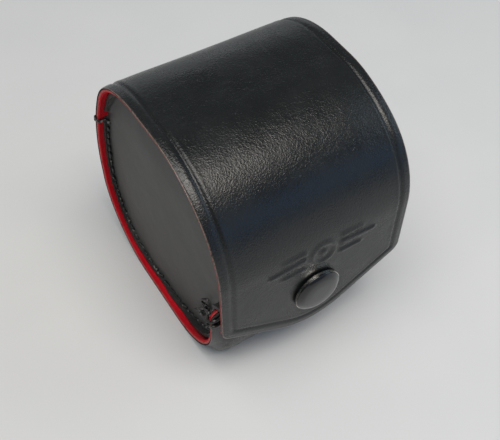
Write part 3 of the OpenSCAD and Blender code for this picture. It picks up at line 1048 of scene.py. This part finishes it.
def make_panel(name, side):
    """One end panel, side is -1 for the left end and +1 for the right end."""
    rings = np.array(panel_rings())
    obj, column, row = flat_grid(name, PANEL_COUNT + 1, len(rings))
    spin = column % PANEL_COUNT
    ring_x, inset, share = rings[row].T
    bent_up = step(PANEL_FACE + BEND_R, PANEL_FACE + FLANGE_W, ring_x)
    yz = loop[spin] - loop_normals[spin] * inset[:, None]
    yz += (PANEL_MIDDLE - yz) * share[:, None]
    lift = FLANGE_LIFT * step(PANEL_FACE, PANEL_FACE + FLANGE_W, ring_x)
    reach = np.maximum(gap_to_flap[spin] - RIM_UNDER_FLAP + lift, 0) * free_rim[spin] * (1 - share)
    yz += loop_normals[spin] * reach[:, None]
    full = 0.35 + stands_out(yz[:, 0], yz[:, 1]) * (0.35 + PANEL_FULLNESS * (1 - bent_up)) * (1 - 0.55 * share)
    turned_up = np.degrees(np.arctan2(loop_normals[spin, 1], loop_normals[spin, 0]))
    shoulder = step(20, 45, turned_up) * (1 - step(85, 125, turned_up)) * (1 - share)
    yz += loop_normals[spin] * (SHOULDER_FULLNESS * shoulder)[:, None]
    sag = 0.45 * step(0.0, 0.4, share) + 0.16 * step(2, 5, inset) * waves(yz[:, 0], yz[:, 1], 20 + side, 34)
    gap = 0.22 * waves(yz[:, 0], yz[:, 1], 30 + side, 17) * (1 - step(1.5, 5, inset))
    pucker = 0.5 + 0.5 * np.cos(math.tau * loop_s[spin] / STITCH_PITCH)
    on_flange = (inset < 0.01) & (ring_x > PANEL_FACE + BEND_R - 0.1)
    on_flange = on_flange * (1 - free_rim[spin])
    yz -= loop_normals[spin] * (on_flange * (0.16 - 0.30 * (1 - pucker)))[:, None]
    set_vertices(obj, np.stack([side * (ring_x + sag + gap + full), yz[:, 0], yz[:, 1]], 1))
    set_value(obj, "inset", inset + share * 10 + (PANEL_FACE + FLANGE_W - ring_x))
    weld(obj)
    outward(obj)
    face = [p for p in obj.data.polygons if abs(p.center.x) / MM < PANEL_FACE + 0.9]
    if sum(p.normal.x * p.area for p in face) * side < 0:
        edit(obj, bpy.ops.mesh.flip_normals)
    coated(obj, matt_leather)
    thicken(obj, PANEL_T - 0.05)
    print(name, len(obj.data.polygons), "faces")
    return obj


panels = {"left": make_panel("left_panel", -1), "right": make_panel("right_panel", 1)}

# %% [markdown]
# ## Thread
# The seam is sewn by hand with waxed black thread. One length of thread is a flat grid rolled into a tube
# round its route, with two plies that twist round each other. A stitch is such a tube that rises out of one
# hole and goes down in the next. Each one is a little different, because hands made them.

# %% Thread tube
THREAD_R = 0.42


def thread_tube(name, route, radius=THREAD_R, around=8, twist_mm=1.6):
    """A two-ply thread along route, an array of points in millimetres."""
    route = np.asarray(route, float)
    obj, column, row = flat_grid(name, len(route), around + 1)
    tangent = np.gradient(route, axis=0)
    tangent /= np.linalg.norm(tangent, axis=1)[:, None]
    side = np.cross(tangent, np.array([0.31, 0.42, 0.85]))
    side /= np.linalg.norm(side, axis=1)[:, None]
    up = np.cross(side, tangent)
    steps = np.linalg.norm(np.diff(route, axis=0), axis=1)
    length = np.concatenate([[0], np.cumsum(steps)])
    angle = (row % around) / around * math.tau
    ply = np.abs(np.cos(angle - length[column] / twist_mm * math.pi))
    ends = np.where((column == 0) | (column == len(route) - 1), 0.05, 1.0)
    r = radius * (0.72 + 0.34 * ply) * ends
    co = route[column] + side[column] * (r * np.cos(angle))[:, None] + up[column] * (r * np.sin(angle))[:, None]
    set_vertices(obj, co)
    weld(obj, 1e-7)
    outward(obj)
    return obj


# %% Seam stitches
STITCH_POINTS = 9


def seam_place(from_lip):
    """Section point and outward normal on the strip's outer face, measured from the lip's seam start."""
    lip_part = front.length - 2 - from_lip
    y0, z0, ny0, nz0 = front.at(np.maximum(lip_part, 0))
    y1, z1, ny1, nz1 = over.at(np.maximum(-lip_part, 0))
    in_front = lip_part >= 0
    yz = np.where(in_front[:, None], np.stack([y0, z0], 1), np.stack([y1, z1], 1))
    normal = np.where(in_front[:, None], np.stack([ny0, nz0], 1), np.stack([ny1, nz1], 1))
    return yz, normal


seam_length = front.length - 2 + seam_end_s
stitch_count = round(seam_length / STITCH_PITCH)


def fuller(yz):
    """The stitches on the panel follow it where it stands out."""
    return 0.35 + stands_out(yz[:, 0], yz[:, 1]) * (0.35 + PANEL_FULLNESS)


def make_stitches(name, side, out, chance):
    """A row of stitches. out is how far the row lies outside the strip's face (negative is inside)."""
    row = []
    inner = out < -1
    outwards = -1 if inner else 1
    for i in range(stitch_count):
        t = np.linspace(0, 1, STITCH_POINTS)
        start = (i + 0.06 + 0.05 * chance.normal()) * seam_length / stitch_count
        end = (i + 0.94 + 0.05 * chance.normal()) * seam_length / stitch_count
        yz, normal = seam_place(start + (end - start) * t)
        rise = np.sin(math.pi * t) ** 0.6 * (0.34 + 0.10 * chance.normal()) - 0.30
        lift = out + outwards * rise
        slant = chance.normal() * 0.14 + 0.20
        x = side * (STITCH_X + inner * fuller(yz) + (t - 0.5) * 2 * slant)
        route = np.stack([x, yz[:, 0] + normal[:, 0] * lift, yz[:, 1] + normal[:, 1] * lift], 1)
        row.append(thread_tube("stitch", route, radius=THREAD_R * chance.uniform(0.85, 1.25)))
    return row


threads = {}
for label, side in (("left", -1), ("right", 1)):
    chance = np.random.default_rng(11 + side)
    outer = make_stitches("outer", side, -0.50, chance)
    inner = make_stitches("inner", side, -FLANGE_DEPTH - 0.22, chance)
    threads[label] = join(label + "_seam_stitches", outer + inner)
    print(threads[label].name, stitch_count, "stitches a side,", len(threads[label].data.polygons), "faces")

# %% [markdown]
# At both ends of the seam the thread goes round the edge of the strip and is knotted off. The route of such
# a tie is drawn across the strip: out of the outer face, round the cut edge, over the lining and down to the
# flange. A Catmull-Rom curve through a few corner points makes the turns soft.

# %% Ties and knots


def soft_route(points, per_span=8):
    """A smooth curve through points."""
    p = np.asarray(points, float)
    p = np.concatenate([[2 * p[0] - p[1]], p, [2 * p[-1] - p[-2]]])
    out = []
    for i in range(1, len(p) - 2):
        for t in np.linspace(0, 1, per_span, endpoint=False):
            a, b, c, d = p[i - 1:i + 3]
            out.append(0.5 * (2 * b + (c - a) * t + (2 * a - 5 * b + 4 * c - d) * t ** 2
                              + (3 * b - a - 3 * c + d) * t ** 3))
    out.append(p[-2])
    return np.array(out)


def across_strip(side, s_from_lip, points):
    """Turns (x, depth, shift along the seam) corner points into places in the frame."""
    points = np.asarray(points, float)
    yz, normal = seam_place(s_from_lip + points[:, 2])
    return np.stack([side * points[:, 0], yz[:, 0] - normal[:, 0] * points[:, 1],
                     yz[:, 1] - normal[:, 1] * points[:, 1]], 1)


def tie(name, side, s_from_lip, lean_along, tail):
    """A loop round the strip's edge with a short cut tail."""
    edge = half_length + THREAD_R * 0.8
    corners = [(STITCH_X, 0.6, 0.0), (STITCH_X + 0.5, -0.25, 0.1), (edge - 1.0, -0.3, lean_along * 0.6),
               (edge, 0.5, lean_along), (edge - 0.1, 1.5, lean_along), (edge - 1.0, 2.0, lean_along * 0.9),
               (PANEL_FACE + FLANGE_W + 0.15, 2.2, lean_along * 0.6),
               (PANEL_FACE + FLANGE_W - 0.3, 3.2, lean_along * 0.3), (STITCH_X, 3.15, 0.0),
               (STITCH_X - 0.6, 3.3, tail * 0.4), (STITCH_X - 0.2, 3.7, tail)]
    return thread_tube(name, soft_route(across_strip(side, s_from_lip, corners)), radius=THREAD_R * 1.05)


def knot(name, side, s_from_lip, chance):
    """A small knot: a few turns of thread wound over each other."""
    t = np.linspace(0, 1, 60)
    wind = t * math.tau * 3.2
    x = STITCH_X + 0.55 * np.cos(wind) + 0.15 * np.sin(wind * 0.37)
    along = 0.75 * np.sin(wind) * (0.7 + 0.3 * np.cos(wind * 0.5)) + 0.2 * chance.normal()
    below = FLANGE_DEPTH + 0.35 + 0.35 * np.sin(wind * 0.5) ** 2 + 0.2 * t
    return thread_tube(name, across_strip(side, s_from_lip, np.stack([x, below, along], 1)))


def loose_end(name, side, points):
    """A short cut end that stands off the panel, through (x, y, z) points."""
    route = soft_route([(side * x, y, z) for x, y, z in points], 6)
    return thread_tube(name, route, radius=THREAD_R * 0.8)


def lump(name, side, centre, size, chance):
    """A knot in front of the panel: thread wound round and round one place."""
    t = np.linspace(0, 1, 70)
    wind = t * math.tau * 3.4
    centre = np.array(centre)
    spread = np.stack([0.5 * np.sin(wind * 0.7) + 0.3, 1.0 * np.cos(wind), 1.25 * np.sin(wind + 0.4)], 1)
    spread *= (0.75 + 0.25 * np.cos(wind * 0.31 + chance.uniform(0, 6)))[:, None]
    route = centre + spread * size
    route[:, 0] *= side
    return thread_tube(name, route, radius=THREAD_R * 0.9)


ties = {}
for label, side in (("left", -1), ("right", 1)):
    chance = np.random.default_rng(40 + side)
    pieces = [tie("upper", side, seam_length + 1.6, 0.5, -2.4),
              tie("lip high", side, -0.4, 0.5, 1.2),
              tie("lip low", side, 2.6, -0.3, 2.2),
              knot("knot", side, seam_length + 0.4, chance),
              knot("knot", side, 1.2, chance),
              lump("lump", side, (25.2, -24.6, 20.0), 1.0, chance),
              lump("lump", side, (25.6, -22.5, 15.5), 0.8, chance),
              loose_end("end", side, [(25.3, -24.2, 21.0), (26.4, -23.8, 23.4), (26.0, -24.9, 25.2),
                                      (25.1, -26.2, 25.6)]),
              loose_end("end", side, [(25.6, -25.2, 20.0), (26.2, -27.0, 22.5), (26.4, -28.6, 23.0),
                                      (27.0, -29.6, 25.0)]),
              loose_end("end", side, [(25.4, -24.2, 19.2), (25.9, -22.6, 17.4), (25.4, -20.2, 14.0),
                                      (26.2, -18.0, 11.6)])]
    ties[label] = join(label + "_seam_knots", pieces)
    print(ties[label].name, len(ties[label].data.polygons), "faces")

# %% [markdown]
# ## The press stud
# Cap, socket and stud are all turned parts, so each is spun from half its outline. The outline is drawn by
# extruding one vertex from point to point, as one would with the mouse, and Spin turns it once round.

# %% Turned parts


def turned(name, outline, centre_y, steps=64):
    """Spins an outline of (radius, height) points, in millimetres, about the press stud's axis."""
    bpy.ops.object.select_all(action="DESELECT")
    bpy.ops.mesh.primitive_plane_add(size=1)
    obj = added(name)
    bpy.ops.object.mode_set(mode="EDIT")
    bpy.ops.mesh.select_all(action="SELECT")
    bpy.ops.mesh.merge(type="CENTER")
    place = np.array([outline[0][0], 0, 0]) * MM
    bpy.ops.transform.translate(value=(place[0], 0, outline[0][1] * MM))
    for before, after in zip(outline[:-1], outline[1:]):
        move = ((after[0] - before[0]) * MM, 0, (after[1] - before[1]) * MM)
        bpy.ops.mesh.extrude_region_move(TRANSFORM_OT_translate={"value": move})
    bpy.ops.mesh.select_all(action="SELECT")
    bpy.ops.mesh.spin(steps=steps, angle=math.tau, center=(0, 0, 0), axis=(0, 0, 1))
    bpy.ops.mesh.select_all(action="SELECT")
    bpy.ops.mesh.remove_doubles(threshold=1e-6)
    bpy.ops.mesh.normals_make_consistent(inside=False)
    bpy.ops.object.mode_set(mode="OBJECT")
    co = vertices(obj)
    set_vertices(obj, np.stack([co[:, 0], -co[:, 2] + centre_y * MM, co[:, 1] + snap_z * MM], 1) / MM)
    outward(obj)
    return obj


def rounded(corners, radius, steps=5):
    """Rounds the inner corners of an outline."""
    out = [corners[0]]
    for a, b, c in zip(corners[:-2], corners[1:-1], corners[2:]):
        a, b, c = np.array(a), np.array(b), np.array(c)
        r = min(radius, 0.45 * np.linalg.norm(a - b), 0.45 * np.linalg.norm(c - b))
        p = b + (a - b) / np.linalg.norm(a - b) * r
        q = b + (c - b) / np.linalg.norm(c - b) * r
        for t in np.linspace(0, 1, steps):
            out.append(tuple((1 - t) ** 2 * p + 2 * t * (1 - t) * b + t * t * q))
    out.append(corners[-1])
    return out


CAP_SHARE = 0.925
cap_r = (cap_high[0] - cap_low[0]) / 2 * CAP_SHARE
cap_h = flap_y - cap_low[1] - 0.15
cap_outline = rounded([(0, cap_h), (cap_r * 0.5, cap_h - 0.05), (cap_r * 0.8, cap_h - 0.30),
                       (cap_r, cap_h - 1.15), (cap_r - 0.05, 0.7), (cap_r - 0.9, -0.05),
                       (cap_r - 1.6, -0.05), (cap_r - 1.6, 0.5), (0, 0.5)], 1.3, 9)
cap = turned("stud_cap", cap_outline, flap_y, 72)

socket_low, socket_high = box_mm("snap_socket")
socket_r = (socket_high[0] - socket_low[0]) / 2
socket_h = socket_high[1] - socket_low[1]
hole_r = 3.8
socket_outline = rounded([(2.1, 0.0), (socket_r, 0.0), (socket_r, socket_h - 0.1), (socket_r - 0.5, socket_h),
                          (hole_r + 0.3, socket_h), (hole_r, socket_h - 0.1), (hole_r, socket_h - 0.35),
                          (socket_r - 0.5, socket_h - 0.4), (socket_r - 0.5, 0.45), (2.1, 0.45), (2.1, 0.0)], 0.2)
socket_outline = [(r, -h) for r, h in socket_outline]
socket = turned("stud_socket", socket_outline, socket_low[1], 56)

stud_low, stud_high = box_mm("snap_stud")
stud_r = (stud_high[0] - stud_low[0]) / 2
stud_h = lip_y - stud_low[1]
stud_outline = rounded([(0, stud_h), (1.2, stud_h), (1.65, stud_h - 0.25), (1.35, stud_h - 0.5), (1.35, 0.75),
                        (2.0, 0.6), (stud_r - 0.5, 0.5), (stud_r, 0.15), (stud_r - 0.1, 0.0), (0, 0.0)], 0.3)
stud = turned("stud_head", stud_outline, lip_y, 56)
print("cap", round(cap_r * 2, 1), "mm wide,", len(cap.data.polygons), "faces")

# %% [markdown]
# ## Dress each piece
# Every new piece gets its material, and the CAD nodes that the new pieces stand for are hidden. All but the
# long strip and its lining ride on their body. Those two cross the fold, and here their place is only baked
# into their meshes.

# %% Materials and bodies


for obj in list(threads.values()) + list(ties.values()):
    coated(obj, thread_black)
coated(cap, lacquer)
coated(socket, plated)
coated(stud, plated)
for obj in (strip_over, strip_lip, lining_over, lining_lip, *panels.values()):
    smooth(obj, 50)
for obj in (*threads.values(), *ties.values()):
    smooth(obj, 80)
for obj in (cap, socket, stud):
    smooth(obj, 35)

fold_y, fold_z, _, _ = over.at(np.array([fold_s]))
for obj in (strip_over, lining_over):
    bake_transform(obj)

for obj in [strip_lip, lining_lip, stud, *panels.values(), *threads.values(), *ties.values()]:
    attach(obj, "case")
for obj in (cap, socket):
    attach(obj, "flap")

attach(body_board, "case")
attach(flap_board, "flap")

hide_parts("body_board")
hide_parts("flap_board")
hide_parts("flap_leather")
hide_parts("body_leather")
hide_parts("flap_lining")
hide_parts("body_lining")
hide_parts("snap_cap")
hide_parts("snap_socket")
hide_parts("snap_stud")
for label in ("left", "right"):
    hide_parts(label + "_panel_leather")
    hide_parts(label + "_seam_thread")
    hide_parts(label + "_seam_ties")

# %% CAD nodes that stay
for node, mat in (("left_panel_board", grey_board), ("right_panel_board", grey_board),
                  ("left_panel_lining", flannel), ("right_panel_lining", flannel), ("snap_post", plated),
                  ("snap_spring", steel), ("snap_washer", plated)):
    mesh = frame["nodes"][node].data
    mesh.materials.clear()
    mesh.materials.append(mat)

# %% [markdown]
# ## Floor and lights
# The case lies on a plain pale table under five soft lights. The key light and the large ceiling light are
# above it and give the flap its broad sheen. The sky light fills from the right and the rear light from
# behind. The bluish dusk light stands low in front.

# %% Floor
bpy.ops.object.select_all(action="DESELECT")
bpy.ops.mesh.primitive_plane_add(size=6)
floor = added("floor")
floor_mat, floor_shader, floor_place = material("pale_table", specular=0.3)
speck = noise(floor_place, 0.02, 3.0)
floor_tone = speck.ramp(0.3, 0.7).colour((0.70, 0.70, 0.705, 1), (0.72, 0.72, 0.72, 1))
feed(floor_shader, floor_place, Base_Color=floor_tone)
floor_shader.inputs["Roughness"].default_value = 0.55
coated(floor, floor_mat)

# %% Light
CASE_MIDDLE = (0, 0, 40)


def softbox(name, place_mm, aim_mm, size_mm, power, colour):
    data = bpy.data.lights.new(name, "AREA")
    data.shape = "RECTANGLE"
    data.size, data.size_y = size_mm[0] * MM, size_mm[1] * MM
    data.energy = power
    data.color = colour
    lamp = bpy.data.objects.new(name, data)
    bpy.context.scene.collection.objects.link(lamp)
    lamp.location = Vector(place_mm) * MM
    lamp.rotation_euler = (Vector(aim_mm) - Vector(place_mm)).to_track_quat("-Z", "Y").to_euler()
    return lamp


def from_way(way, distance):
    """A place at a distance from the case in a given direction."""
    way = np.array(way, float)
    return tuple(np.array(CASE_MIDDLE, float) + way / np.linalg.norm(way) * distance)


softbox("key", from_way((0.08, -0.43, 0.89), 700), CASE_MIDDLE, (280, 270), 1.65, (1.0, 0.94, 0.86))
softbox("ceiling", from_way((-0.22, -0.14, 0.95), 900), CASE_MIDDLE, (700, 620), 4.65, (1.0, 0.98, 0.935))
softbox("sky", from_way((0.88, -0.28, 0.42), 900), CASE_MIDDLE, (500, 400), 1.05, (0.66, 0.84, 1.0))
softbox("rear", from_way((0.35, 0.92, 0.20), 900), CASE_MIDDLE, (900, 200), 0.36, (0.96, 1.0, 1.0))
softbox("dusk", from_way((0.42, -0.86, 0.26), 800), CASE_MIDDLE, (800, 260), 0.50, (0.26, 0.52, 1.0))
world = bpy.data.worlds.new("studio")
world.use_nodes = True
world.node_tree.nodes["Background"].inputs["Color"].default_value = (0.84, 0.93, 1.0, 1)
world.node_tree.nodes["Background"].inputs["Strength"].default_value = 0.20
bpy.context.scene.world = world
